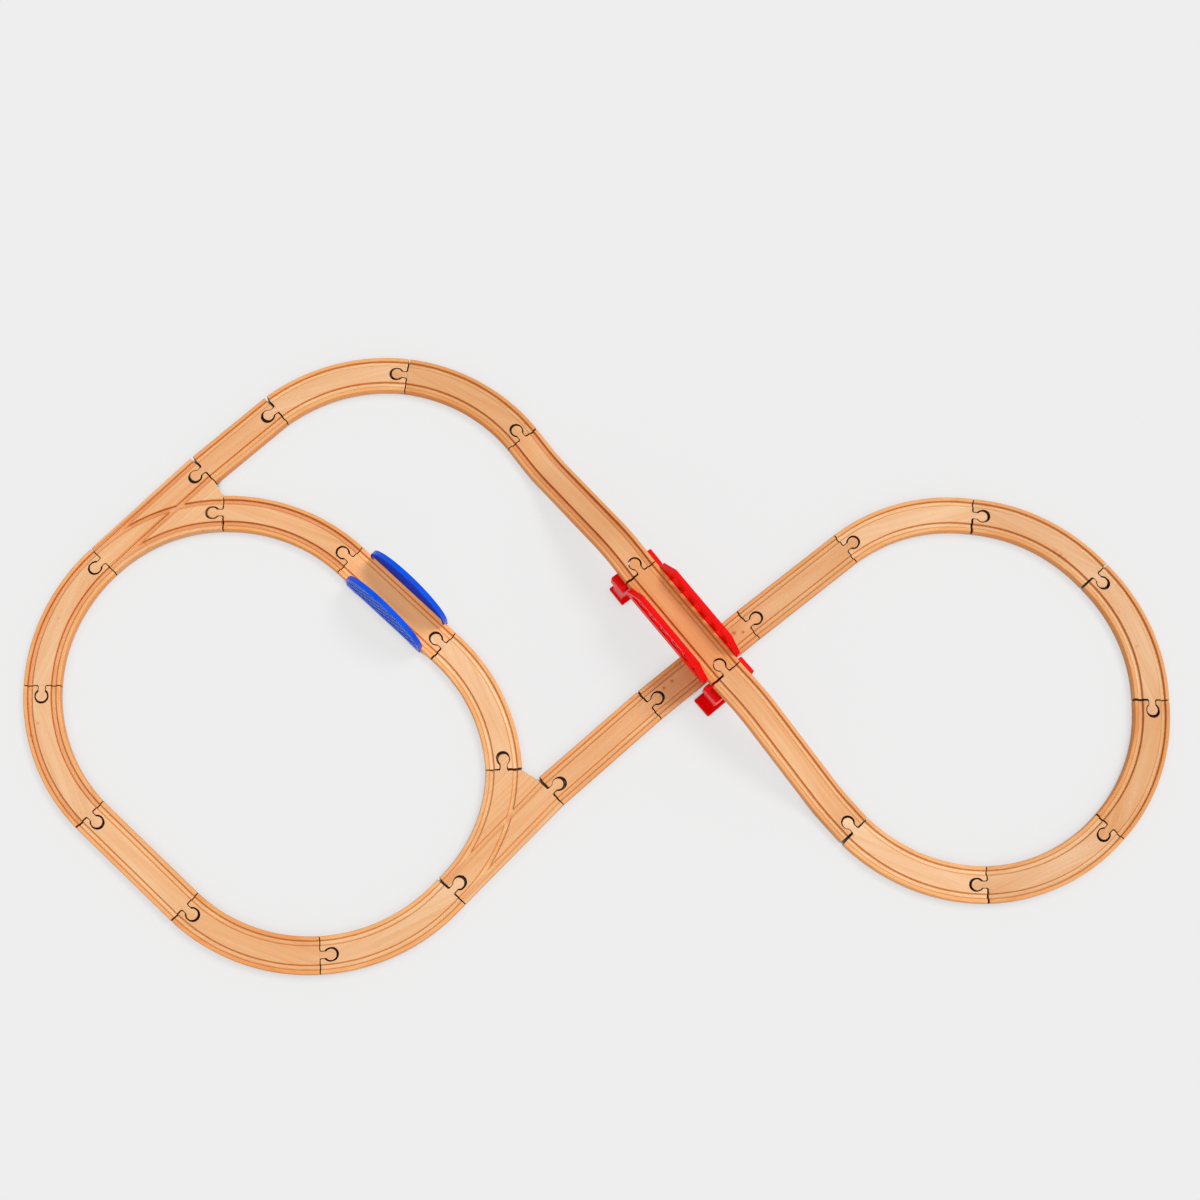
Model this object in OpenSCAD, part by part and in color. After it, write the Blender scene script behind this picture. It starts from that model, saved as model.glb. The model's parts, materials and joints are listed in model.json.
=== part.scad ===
// Wooden toy railway: a small loop and a large loop joined by two switches and a bridge.
// Every track piece has a peg at the end where the run enters it and a socket where the run leaves it.
// A pose is [x, y, heading]. A path is [straight in, radius, turn, straight out], left turns positive.

/* [Track section] */
// Width of every track piece
track_w = 40; // [37:0.5:44]
// Thickness of every track piece
track_t = 12; // [11:0.5:14]
// Distance between the middles of the two wheel grooves
gauge = 25.5; // [24:0.5:27]
// Width of a wheel groove at its floor
groove_w = 5; // [4:0.5:6]
// Depth of a wheel groove
groove_depth = 3; // [2:0.5:4]
// Radius of the rounded long edges
edge_r = 1.5; // [0.5:0.25:2]

/* [Track lengths] */
// Centre-line radius of the plain curves
curve_r = 200; // [196:1:204]
// Length of the plain straights and of the bridge deck
straight_len = 144; // [141:1:147]
// Length of the short straight
short_len = 106; // [102:1:112]
// Length of a switch along its straight way
switch_len = 150; // [147:1:156]
// Centre-line radius of a switch's curved way
switch_r = 180; // [175:1:184]
// Straight lead before a switch's curved way begins
switch_lead = 4; // [2:0.5:8]
// Length of a ramp on plan
ramp_len = 216; // [210:1:222]
// Height of the bridge deck's underside above the floor
ramp_rise = 56; // [50:1:64]
// Radius of a ramp's two bends, at mid thickness
ramp_bend_r = 100; // [70:5:120]

/* [Jigsaw ends] */
// Diameter of a peg's round head
peg_d = 12; // [11:0.5:13]
// Distance from the end face to the middle of the peg's head
peg_reach = 12; // [11:0.5:13]
// Width of a peg's neck
neck_w = 7; // [6:0.5:8]
// Gap between two end faces at the corner where they come closest
corner_gap = 0.6; // [0.4:0.1:1]
// Least clearance between a peg and its socket
peg_clear = 0.4; // [0.3:0.05:0.6]

/* [Arched side rails] */
// Distance from the end of its straight to the end of an arched rail
arch_set_back = 15.5; // [13:0.5:20]
// Width of the arched rim, across the track
rim_w = 6; // [5:0.5:7]
// Thickness of the arched rim
rim_t = 3; // [2:0.5:4]
// Length of the lug at each end of an arched rail
lug_len = 16; // [14:1:18]

/* [Truss side rails] */
// Distance from the end of the deck to the end of a truss rail
truss_set_back = 7; // [6.5:0.5:10]
// Length along the deck of a truss rail's sloping ends
truss_slope_len = 18.5; // [15:0.5:23]
// Height of a truss rail above the deck
truss_h = 22; // [18:1:30]
// Number of bays between the posts of a truss rail
truss_bays = 5; // [3:1:7]

/* [Piers] */
// Length along the track of a pier's table, which the track ends lie on
pier_len = 22; // [20:1:24]
// How much of that length is under the bridge deck
pier_under_deck = 5; // [3:0.5:6]
// How far the table stands out on each side of the track
table_out = 8; // [6:0.5:10]
// Thickness of the table
table_h = 16; // [10:1:20]
// How far the leg is set in below the table
leg_in = 3; // [2:0.5:4]
// How far the foot stands out on each side beyond the table
foot_out = 2; // [1:0.5:4]
// How far the foot is set to one side
foot_shift = 3.5; // [0:0.5:5]
// Gap between a pier's foot and the track that passes below the bridge
pier_to_line = 5.5; // [4:0.5:8]

/* [Hidden] */

$fn = 180;
beech = [0.94, 0.71, 0.51];
gloss_red = [0.86, 0.02, 0.02];
gloss_blue = [0.02, 0.27, 0.85];

half_w = track_w / 2;
eighth = 45;
cut = 1;
groove_lip = 0.7;
arc_steps = 20;

// Paths of the kinds of piece
STRAIGHT = [straight_len, 0, 0, 0];
SHORT = [short_len, 0, 0, 0];
RAMP = [ramp_len, 0, 0, 0];
RIGHT = [0, curve_r, -eighth, 0];
LEFT = [0, curve_r, eighth, 0];
FORK = [switch_lead, switch_r, -eighth, 0];
MERGE = [0, switch_r, -eighth, switch_lead];

// The small loop from the left switch's curved way round to its single end, and the bend of each of its
// joints as the pieces were laid, in degrees to the left
loop_run = [RIGHT, STRAIGHT, RIGHT, MERGE, RIGHT, RIGHT, STRAIGHT, RIGHT, RIGHT];
loop_laid = [1, 0, 1.5, -3, 3, 0, -1, -1.5, 0, 0];

// The line from the left switch's straight way over the bridge, round the large loop, under the bridge
// and back to the right switch, and the bend of each of its joints
line_run = [SHORT, RIGHT, RIGHT, RAMP, STRAIGHT, RAMP, LEFT, LEFT, LEFT, LEFT, LEFT, LEFT,
            STRAIGHT, STRAIGHT, STRAIGHT];
line_laid = [-3, -3.5, -1, -1, 2, 2.5, 3.5, 1.5, -1.5, -2.5, -2.5, -2.5, 0.5, 1, 2, 4];

// The bridge: the numbers of its deck and of the piece below it in the line, and the distance along the
// deck to where that piece crosses
crossing_at = straight_len - (pier_under_deck + foot_out / 2 + pier_to_line + half_w);
bridge = [4, 13, crossing_at];

// Poses along a run
function ahead(p, d) = [p.x + d * cos(p.z), p.y + d * sin(p.z), p.z];
function turned(p, a) = [p.x, p.y, p.z + a];
function swing(p, r, a) =
    let (side = sign(a), q = p.z + a)
    [p.x + side * r * (sin(q) - sin(p.z)), p.y - side * r * (cos(q) - cos(p.z)), q];
function leave(p, path) = ahead(swing(ahead(p, path[0]), path[1], path[2]), path[3]);
function beside(p, d) = [p.x - d * sin(p.z), p.y + d * cos(p.z)];
function beside_all(line, d) = [for (p = line) beside(p, d)];
function reversed(list) = [for (i = [len(list) - 1 : -1 : 0]) list[i]];
function heading(p) = [cos(p.z), sin(p.z)];
function crossing(p, q) = cross([q.x - p.x, q.y - p.y], heading(q)) / cross(heading(p), heading(q));

// A bent joint closes at one corner, so its middle opens with the bend
function joint_gap(bend) = corner_gap + half_w * tan(abs(bend));
function cross_joint(p, bend) = ahead(turned(ahead(p, joint_gap(bend) / 2), bend), joint_gap(bend) / 2);
function joint_middle(entry, bend) = turned(ahead(entry, -joint_gap(bend) / 2), -bend / 2);

// Entry pose of every piece of a run, and last the pose that the run reaches
function entries(p, run, bends, i = 0) =
    let (entry = cross_joint(p, bends[i]))
    i == len(run) ? [entry] : concat([entry], entries(leave(entry, run[i]), run, bends, i + 1));

// Solves a set of equations, given as the rows of a positive definite matrix and the goal of each row
function sum(list, i = 0) = i == len(list) - 1 ? list[i] : list[i] + sum(list, i + 1);
function rest(list) = [for (i = [1 : len(list) - 1]) list[i]];
function solved(rows, goals) =
    let (lead = rows[0] / rows[0][0], first = goals[0] / rows[0][0])
    len(goals) == 1 ? [first] :
    let (
        others = solved([for (r = rest(rows)) rest(r - lead * r[0])],
                        [for (i = [1 : len(goals) - 1]) goals[i] - first * rows[i][0]])
    )
    concat([first - rest(lead) * others], others);

// The least change of the laid bends that makes a run end at its goal and pass below its bridges where it
// should: what a degree of bend does to these is a joint's column, and the normal equations are solved
function swept(joint, p) = [joint.y - p.y, p.x - joint.x] * PI / 180;
function end_effect(joint, end) = concat(swept(joint, end), [1]);
function crossing_effect(joint, over, under) =
    cross(swept(joint, ahead(over, crossing(over, under))), heading(under))
    / cross(heading(over), heading(under));
function closed(start, run, goal, bends, bridges = [], rounds = 6) =
    rounds == 0 ? bends :
    let (
        poses = entries(start, run, bends),
        end = poses[len(run)],
        columns = [
            for (i = [0 : len(run)])
            let (joint = joint_middle(poses[i], bends[i]))
            concat(end_effect(joint, end), [
                for (b = bridges)
                i > b[0] && i <= b[1] ? crossing_effect(joint, poses[b[0]], poses[b[1]]) : 0
            ])
        ],
        normal = sum([for (c = columns) [for (k = c) k * c]]),
        miss = concat(goal - end, [for (b = bridges) b[2] - crossing(poses[b[0]], poses[b[1]])]),
        weight = solved(normal, miss),
        better = [for (i = [0 : len(run)]) bends[i] + columns[i] * weight]
    )
    closed(start, run, goal, better, bridges, rounds - 1);

// Where every piece lies, with the left switch's single end at the start
start = [0, 0, eighth];
loop_start = leave(start, FORK);
loop_bends = closed(loop_start, loop_run, turned(start, -360), loop_laid);
loop_at = entries(loop_start, loop_run, loop_bends);
merge_end = leave(loop_at[3], MERGE);
right_switch_at = turned(merge_end, 180);
line_start = ahead(start, switch_len);
line_goal = turned(ahead(merge_end, -switch_len), 360);
line_bends = closed(line_start, line_run, line_goal, line_laid, [bridge]);
line_at = entries(line_start, line_run, line_bends);

// The middle of the layout on plan, from points along the edges of every path
all_at = concat([start], loop_at, line_at);
all_run = concat([FORK], loop_run, [STRAIGHT], line_run, [STRAIGHT]);
edge_points = [
    for (i = [0 : len(all_at) - 1], a = [0 : eighth], side = [-1, 1])
    let (path = all_run[i])
    beside(swing(ahead(all_at[i], path[0]), path[1], path[2] * a / eighth), side * half_w)
];
xs = [for (p = edge_points) p.x];
ys = [for (p = edge_points) p.y];
middle = [(min(xs) + max(xs)) / 2, (min(ys) + max(ys)) / 2];

// Room that the most bent joint needs round a peg
worst_bend = max([for (b = concat(loop_bends, line_bends)) abs(b)]);
gap_spread = (joint_gap(worst_bend) - corner_gap) / 2;
peg_sway = norm([peg_reach * sin(worst_bend), gap_spread]);
socket_d = peg_d + 2 * (peg_clear + peg_sway);
socket_reach = peg_reach - corner_gap - gap_spread;
slot_w = neck_w + 2 * (peg_clear + peg_reach / 2 * tan(worst_bend));
root_r = 2;
root_steps = 6;
root_sink = 0.2;

// A ramp in side view: level end, bend, incline, bend, level end
ramp_level = socket_reach + socket_d / 2 + 3;
ramp_run = ramp_len - 2 * ramp_level;
ramp_drop = ramp_rise - 2 * ramp_bend_r;
ramp_slant = norm([ramp_run, ramp_drop]);
ramp_angle = atan2(ramp_drop, ramp_run) + asin(2 * ramp_bend_r / ramp_slant);
incline_len = sqrt(ramp_slant * ramp_slant - 4 * ramp_bend_r * ramp_bend_r);
ramp_foot = [ramp_level, track_t / 2, 0];
ramp_brow = ahead(swing(ramp_foot, ramp_bend_r, ramp_angle), incline_len);
ramp_line = concat(
    [ahead(ramp_foot, -ramp_level)],
    [for (i = [0 : arc_steps]) swing(ramp_foot, ramp_bend_r, ramp_angle * i / arc_steps)],
    [for (i = [0 : arc_steps]) swing(ramp_brow, ramp_bend_r, -ramp_angle * i / arc_steps)],
    [[ramp_len, ramp_rise + track_t / 2, 0]]
);

// Side rails: a wall beside the track, with spigots pressed in holes in the track's sides
wall_t = 4;
web_t = 2;
rib_w = 2.5;
rib_pitch = 14;
spigot_d = 4;
spigot_len = 6;
spigot_z = 5.5;
lug_bottom = 2;
chord_bottom = 6;
chord_h = 2;
rim_edge = 0.5;
arch_len = straight_len - 2 * arch_set_back;
arch_r = arch_len / 2;
arch_stem = 6;
rim_to_groove = 1;
land_w = half_w - (gauge + groove_w) / 2 - groove_lip;
rim_in = min(rim_w / 2, land_w - rim_to_groove);
rim_out = rim_w - rim_in;
arch_spigot_x = arch_r - lug_len / 2;
truss_bar = 3.5;
truss_top_w = 6.5;
truss_top_t = 4;
truss_base = 2;
truss_len = straight_len - 2 * truss_set_back;
truss_top_len = truss_len - 2 * truss_slope_len;
truss_spigot_x = truss_len / 2 - lug_len / 2;

// Piers, just clear of the track ends that lie on them
seat_gap = 0.3;
pier_h = ramp_rise - seat_gap;
table_w = track_w + 2 * table_out;
leg_len = pier_len - 2 * leg_in;
leg_w = table_w - 2 * leg_in;
foot_h = 5;
pier_wall = 3;
table_top_t = 5;

// Placing
module lay(p) { translate([p.x, p.y, 0]) rotate(p.z) children(); }
module laid_out() { translate([-middle.x, -middle.y, 0]) children(); }

// Sections across the track, with the height upwards
module blank_section() {
    translate([-half_w + edge_r, 0]) square([track_w - 2 * edge_r, track_t]);
    translate([-half_w, edge_r]) square([track_w, track_t - 2 * edge_r]);
    for (side = [-1, 1], z = [edge_r, track_t - edge_r])
        translate([side * (half_w - edge_r), z]) circle(r = edge_r);
}
module groove_section() {
    for (side = [-1, 1]) translate([side * gauge / 2, track_t])
        polygon([
            [-groove_w / 2, -groove_depth], [groove_w / 2, -groove_depth], [groove_w / 2, -groove_lip],
            [groove_w / 2 + groove_lip + cut, cut], [-groove_w / 2 - groove_lip - cut, cut],
            [-groove_w / 2, -groove_lip]
        ]);
}
module track_section() {
    difference() {
        blank_section();
        groove_section();
    }
}

// Sweeps of a section along the ways a piece can run
module sweep_straight(length) { rotate([90, 0, 90]) linear_extrude(length) children(); }
module sweep_curve(r, turn) {
    translate([0, sign(turn) * r, 0]) rotate(turn > 0 ? -90 : 90 + turn)
        rotate_extrude(angle = abs(turn)) translate([r, 0]) children();
}

// Jigsaw ends: a peg stands out behind a piece's entry, a socket is cut at its exit. Both have a round
// head, a neck, and rounded corners where the neck meets the end face.
function root_side(width) = [
    for (i = [0 : root_steps])
    let (a = 90 * i / root_steps)
    [root_sink - root_r * (1 - sin(a)), width / 2 + root_r * (1 - cos(a))]
];
module jigsaw_outline(head_d, reach, width) {
    side = concat(root_side(width), [[cut, width / 2 + root_r]]);
    translate([-reach, 0]) circle(d = head_d);
    translate([-reach, -width / 2]) square([reach + cut, width]);
    polygon(concat(side, reversed([for (p = side) [p.x, -p.y]])));
}
module peg() { linear_extrude(track_t) jigsaw_outline(peg_d, peg_reach, neck_w); }
module socket() {
    translate([0, 0, -cut]) linear_extrude(track_t + 2 * cut)
        jigsaw_outline(socket_d, socket_reach, slot_w);
}

// Track pieces in their own frames, entered at the origin along +X
module straight_track(length) {
    difference() {
        union() {
            sweep_straight(length) track_section();
            peg();
        }
        translate([length, 0, 0]) socket();
    }
}
module curve_track(path) {
    difference() {
        union() {
            sweep_curve(path[1], path[2]) track_section();
            peg();
        }
        lay(leave([0, 0, 0], path)) socket();
    }
}

// A switch seen from its single end, with its curved way to the right: one outline on plan, set upwards,
// with the grooves of both ways cut in its top
fork_start = [switch_lead, 0, 0];
fork_end = leave([0, 0, 0], FORK);
fork_line = [for (i = [0 : arc_steps]) swing(fork_start, switch_r, -eighth * i / arc_steps)];
switch_outline = concat(
    [[0, half_w], [switch_len, half_w], [switch_len, -half_w], beside(fork_end, half_w)],
    reversed(beside_all(fork_line, -half_w)),
    [[0, -half_w]]
);
module switch_groove(middle) {
    low = middle - groove_w / 2;
    high = middle + groove_w / 2;
    translate([0, 0, track_t - groove_depth]) linear_extrude(groove_depth + cut) {
        translate([-cut, low]) square([switch_len + 2 * cut, groove_w]);
        polygon(concat(beside_all(fork_line, low), reversed(beside_all(fork_line, high)), [[0, low]]));
    }
}
module switch_body() {
    difference() {
        linear_extrude(track_t) polygon(switch_outline);
        for (side = [-1, 1]) switch_groove(side * gauge / 2);
    }
}
module switch_left() {
    color(beech) laid_out() lay(start) difference() {
        union() {
            switch_body();
            peg();
        }
        translate([switch_len, 0, 0]) socket();
        lay(fork_end) socket();
    }
}
module switch_right() {
    color(beech) laid_out() lay(right_switch_at) mirror([0, 1, 0]) difference() {
        union() {
            switch_body();
            translate([switch_len, 0, 0]) rotate(180) peg();
            lay(turned(fork_end, 180)) peg();
        }
        rotate(180) socket();
    }
}

// The pieces of the two runs
module loop_piece(i) { laid_out() lay(loop_at[i]) children(); }
module line_piece(i) { laid_out() lay(line_at[i]) children(); }
module loop_curve(n) {
    color(beech) loop_piece([0, 2, 4, 5, 7, 8][n - 1]) curve_track(RIGHT);
}
module top_curve(n) { color(beech) line_piece(n) curve_track(RIGHT); }
module right_curve(n) { color(beech) line_piece(n + 5) curve_track(LEFT); }
module loop_straight() { color(beech) loop_piece(6) straight_track(straight_len); }
module short_straight() { color(beech) line_piece(0) straight_track(short_len); }
module line_straight_1() { color(beech) line_piece(12) straight_track(straight_len); }
module underpass_straight() { color(beech) line_piece(13) straight_track(straight_len); }
module line_straight_2() { color(beech) line_piece(14) straight_track(straight_len); }

// Straights that carry side rails, with a blind hole for each spigot
module spigots(reach_x) {
    for (side = [-1, 1], end = [-1, 1])
        translate([straight_len / 2 + end * reach_x, side * half_w, spigot_z]) rotate([side * 90, 0, 0])
            cylinder(d = spigot_d, h = spigot_len);
}
module railed_straight(reach_x) {
    difference() {
        straight_track(straight_len);
        spigots(reach_x);
    }
}
module guarded_straight() { color(beech) loop_piece(1) railed_straight(arch_spigot_x); }
module bridge_deck() {
    color(beech) line_piece(4) translate([0, 0, ramp_rise]) railed_straight(truss_spigot_x);
}

// Ramps, rising along +X from the floor: a side outline along the line at mid thickness, set across
module ramp_band(low, high, width) {
    rotate([90, 0, 0]) translate([0, 0, -width / 2]) linear_extrude(width)
        polygon(concat(beside_all(ramp_line, low), reversed(beside_all(ramp_line, high))));
}
module ramp_bar() {
    difference() {
        ramp_band(-track_t / 2, track_t / 2, track_w);
        for (side = [-1, 1]) translate([0, side * gauge / 2, 0])
            ramp_band(track_t / 2 - groove_depth, track_t / 2 + cut, groove_w);
    }
}
module ramp_up() {
    color(beech) line_piece(3) difference() {
        union() {
            ramp_bar();
            peg();
        }
        translate([ramp_len, 0, ramp_rise]) socket();
    }
}
module ramp_down() {
    color(beech) line_piece(5) difference() {
        union() {
            translate([ramp_len, 0, 0]) rotate(180) ramp_bar();
            translate([0, 0, ramp_rise]) peg();
        }
        translate([ramp_len, 0, 0]) socket();
    }
}

// A wall of a rail in side view, raised from the inner face of the rail
module side_wall(inner, thickness) {
    translate([0, -inner, 0]) rotate([90, 0, 0]) linear_extrude(thickness) children();
}
module rail_spigots(reach_x) {
    for (end = [-1, 1]) translate([end * reach_x, 0, spigot_z]) rotate([-90, 0, 0])
        cylinder(d = spigot_d, h = spigot_len);
}

// An arched rail on the right of its track: a rim that reaches in over the track's edge, a lattice web,
// a lower chord and two lugs beside the track
module arch_outline(r) {
    intersection() {
        translate([0, track_t + arch_stem]) circle(r = r);
        translate([-r, track_t]) square([2 * r, arch_len]);
    }
    translate([-r, track_t]) square([2 * r, arch_stem]);
}
module arch_lattice() {
    intersection() {
        arch_outline(arch_r - rim_t);
        union() for (i = [-5 : 5], tilt = [-1, 1])
            translate([i * rib_pitch, track_t]) rotate(tilt * eighth)
                translate([-rib_w / 2, -arch_len]) square([rib_w, 2 * arch_len]);
    }
}
module arched_rail() {
    side_wall(-rim_in, rim_w) difference() {
        arch_outline(arch_r);
        arch_outline(arch_r - rim_t);
    }
    side_wall(0, web_t) arch_outline(arch_r - rim_t / 2);
    side_wall(0, rim_out - rim_edge) arch_lattice();
    side_wall(0, rim_out) translate([-arch_r + lug_len / 2, chord_bottom])
        square([arch_len - lug_len, track_t + chord_h - chord_bottom]);
    for (end = [-1, 1]) side_wall(0, rim_out)
        translate([end * arch_spigot_x - lug_len / 2, lug_bottom])
        square([lug_len, track_t - lug_bottom + cut]);
    rail_spigots(arch_spigot_x);
}

// A truss rail on the right of the deck: foot chord, posts and diagonals, and a bent top bar
truss_shoulder = track_t;
truss_crown = track_t + truss_h;
bay = truss_top_len / truss_bays;
module truss_outline(inset) {
    low = truss_len / 2 - inset;
    high = truss_top_len / 2 - inset / 2;
    polygon([
        [-low, truss_base], [low, truss_base], [low, truss_shoulder - inset / 2],
        [high, truss_crown - inset], [-high, truss_crown - inset], [-low, truss_shoulder - inset / 2]
    ]);
}
module truss_top() {
    difference() {
        truss_outline(0);
        truss_outline(truss_top_t);
        translate([-truss_len, truss_base - cut]) square([2 * truss_len, truss_shoulder - truss_base]);
    }
}
module truss_bars() {
    intersection() {
        truss_outline(truss_top_t / 2);
        union() {
            for (i = [0 : truss_bays]) translate([(i - truss_bays / 2) * bay - truss_bar / 2, track_t])
                square([truss_bar, truss_h]);
            for (i = [0 : truss_bays - 1]) translate([(i - truss_bays / 2) * bay, track_t])
                rotate(-atan2(bay, truss_h)) translate([-truss_bar / 2, 0])
                square([truss_bar, norm([bay, truss_h])]);
        }
    }
}
module truss_rail() {
    side_wall(0, truss_top_w) truss_top();
    side_wall((truss_top_w - wall_t) / 2, wall_t) truss_bars();
    side_wall(0, truss_top_w) translate([-truss_len / 2, truss_base])
        square([truss_len, truss_shoulder - truss_base]);
    rail_spigots(truss_spigot_x);
}
module on_straight(side) {
    translate([straight_len / 2, 0, 0]) rotate(side > 0 ? 180 : 0) translate([0, -half_w, 0]) children();
}
module arched_rail_left() { color(gloss_blue) loop_piece(1) on_straight(1) arched_rail(); }
module arched_rail_right() { color(gloss_blue) loop_piece(1) on_straight(-1) arched_rail(); }
module truss_rail_left() {
    color(gloss_red) line_piece(4) translate([0, 0, ramp_rise]) on_straight(1) truss_rail();
}
module truss_rail_right() {
    color(gloss_red) line_piece(4) translate([0, 0, ramp_rise]) on_straight(-1) truss_rail();
}

// A hollow pier under one end of the deck, with the deck towards +X: a table, a leg and a foot
module pier_block(length, width, low, high) {
    translate([-length / 2, -width / 2, low]) cube([length, width, high - low]);
}
module pier() {
    translate([pier_under_deck - pier_len / 2, 0, 0]) difference() {
        union() {
            pier_block(pier_len, table_w, pier_h - table_h, pier_h);
            pier_block(leg_len, leg_w, 0, pier_h - cut);
            translate([0, foot_shift, 0])
                pier_block(pier_len + foot_out, table_w + 2 * foot_out, 0, foot_h);
        }
        pier_block(leg_len - 2 * pier_wall, leg_w - 2 * pier_wall, -cut, pier_h - table_top_t);
    }
}
module bridge_pier_1() {
    color(gloss_red) laid_out() lay(joint_middle(line_at[4], line_bends[4])) pier();
}
module bridge_pier_2() {
    color(gloss_red) laid_out() lay(turned(joint_middle(line_at[5], line_bends[5]), 180)) pier();
}

switch_left();
switch_right();
for (n = [1 : 6]) loop_curve(n);
guarded_straight();
loop_straight();
short_straight();
for (n = [1 : 2]) top_curve(n);
ramp_up();
bridge_deck();
ramp_down();
for (n = [1 : 6]) right_curve(n);
line_straight_1();
underpass_straight();
line_straight_2();
arched_rail_left();
arched_rail_right();
truss_rail_left();
truss_rail_right();
bridge_pier_1();
bridge_pier_2();
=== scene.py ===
# %% [markdown]
# # A wooden toy railway
# The object is a set of grooved beech track pieces that lie on the floor, joined like a jigsaw. A small
# loop and a large loop meet at a bridge, which has red plastic piers and side rails. One straight of the
# small loop carries a pair of blue arched side rails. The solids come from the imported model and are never
# moved here: this lesson gives them their edges, their finish, a floor, light and a camera.

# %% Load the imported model
import json
import math

import bmesh
import bpy
import numpy as np
from mathutils import Matrix, Vector


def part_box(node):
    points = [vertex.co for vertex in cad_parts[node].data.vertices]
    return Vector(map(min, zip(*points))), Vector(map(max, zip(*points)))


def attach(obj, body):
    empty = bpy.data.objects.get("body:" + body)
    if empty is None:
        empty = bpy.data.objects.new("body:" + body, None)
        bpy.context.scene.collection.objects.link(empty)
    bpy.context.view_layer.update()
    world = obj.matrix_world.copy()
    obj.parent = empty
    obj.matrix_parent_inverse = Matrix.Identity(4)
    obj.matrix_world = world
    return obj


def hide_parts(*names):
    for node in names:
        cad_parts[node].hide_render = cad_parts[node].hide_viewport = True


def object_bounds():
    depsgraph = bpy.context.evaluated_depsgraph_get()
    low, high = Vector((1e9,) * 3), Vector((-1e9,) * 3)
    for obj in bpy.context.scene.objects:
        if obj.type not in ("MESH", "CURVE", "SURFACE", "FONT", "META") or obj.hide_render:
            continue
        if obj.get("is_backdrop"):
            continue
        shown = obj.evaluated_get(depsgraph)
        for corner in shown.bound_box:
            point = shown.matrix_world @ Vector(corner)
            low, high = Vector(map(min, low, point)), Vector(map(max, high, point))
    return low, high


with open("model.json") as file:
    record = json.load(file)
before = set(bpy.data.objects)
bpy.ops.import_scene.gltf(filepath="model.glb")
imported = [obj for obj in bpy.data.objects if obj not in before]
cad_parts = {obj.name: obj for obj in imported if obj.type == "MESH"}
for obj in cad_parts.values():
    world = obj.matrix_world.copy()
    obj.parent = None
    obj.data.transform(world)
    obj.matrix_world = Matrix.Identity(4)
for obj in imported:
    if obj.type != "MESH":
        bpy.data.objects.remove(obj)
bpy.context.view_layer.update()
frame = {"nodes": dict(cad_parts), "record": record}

MM = 0.001
nodes = frame["nodes"]
bodies = frame["record"]["behaviour"]["bodies"]
body_of = {node: body for body, members in bodies.items() for node in members}
slot_of = {row["node"]: row["material_slot"] for row in frame["record"]["subparts"]}

# %% [markdown]
# ## Which way each plank points
# Grain runs along a plank, so the finish of a piece has to know how the piece lies. The directions could be
# copied from the drawing, but the triangles of the model tell them too, and then they are always right. The
# long upright walls have normals that point across the plank. Opposite walls have opposite normals, so each
# angle is doubled, which makes them agree, and the average is halved. Walls that turn off the plank, such as
# those of a peg, count less and less from round to round.

# %% Measure the directions
WOODEN = [node for node, slot in slot_of.items() if slot == "beech"]


def walls_of(node):
    """Middle, normal and area of each upright triangle of a node, on plan."""
    walls = [p for p in nodes[node].data.polygons if abs(p.normal.z) < 0.02]
    places = np.array([p.center.xy for p in walls])
    normals = np.array([p.normal.xy for p in walls])
    return places, normals, np.array([p.area for p in walls])


def plank_angle(node, rounds=30):
    """Direction of a piece on plan, in radians, from its upright walls."""
    _, normals, areas = walls_of(node)
    doubled = 2 * np.arctan2(normals[:, 1], normals[:, 0])
    weights = areas.copy()
    for _ in range(rounds):
        across = math.atan2((weights * np.sin(doubled)).sum(), (weights * np.cos(doubled)).sum())
        off = np.abs(np.angle(np.exp(1j * (doubled - across))))
        weights = areas / (off + 0.01)
    return across / 2 + math.pi / 2


angles = {node: plank_angle(node) for node in WOODEN}
print("directions in degrees", {node: round(math.degrees(angle)) for node, angle in angles.items()})

# %% [markdown]
# ## Where round walls have their centres
# The grooves of a curve are arcs and a socket is a round hole, so their centres are needed. Each facet of a
# hollow round wall points at its centre, one radius away. Every wall of the piece makes such a guess, and
# where most guesses fall together there is a centre. Counting facets works better here than adding up their
# areas, because one large flat wall would outweigh a whole small round one.

# %% Find the centres of curves and sockets
TRACK_W, CURVE_R, SWITCH_R, SOCKET_R = 40 * MM, 200 * MM, 180 * MM, 7.5 * MM
ARC_SLACK, SOCKET_SLACK = 2.5 * MM, 0.3 * MM
CURVES = [node for node in WOODEN if "curve" in node]
SWITCHES = [node for node in WOODEN if "switch" in node]


def hollow_rounds(node, radius, slack, count=1):
    """Centre and facing of a node's hollow round walls of one radius, those with the most facets first."""
    places, normals, areas = walls_of(node)
    guesses = places + normals * radius
    left = np.ones(len(guesses), bool)
    found = []
    for _ in range(count):
        close = np.linalg.norm(guesses[:, None] - guesses[None], axis=2) < slack
        support = (close & left[None]).sum(1) * left
        best = close[support.argmax()] & left
        centre = np.average(guesses[best], axis=0, weights=areas[best])
        inwards = -np.average(normals[best], axis=0, weights=areas[best])
        found.append((Vector((*centre, 0)), Vector((*inwards, 0)).normalized()))
        left &= ~best
    return found


way_radius = {node: CURVE_R for node in CURVES} | {node: SWITCH_R for node in SWITCHES}
centres = {node: hollow_rounds(node, radius - TRACK_W / 2, ARC_SLACK)[0][0] for node, radius in way_radius.items()}
socket_count = {node: 2 if node == "switch_left" else 1 for node in WOODEN}
sockets = {node: hollow_rounds(node, SOCKET_R, SOCKET_SLACK, count) for node, count in socket_count.items()}
for node in SWITCHES:
    places, _, _ = walls_of(node)
    reach = np.linalg.norm(places - np.array(centres[node].xy), axis=1) / MM
    print(node, "has its nearest wall", round(reach.min(), 2), "mm from the centre of its curved way")
print("found", len(centres), "curve centres and", sum(map(len, sockets.values())), "sockets")

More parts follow.
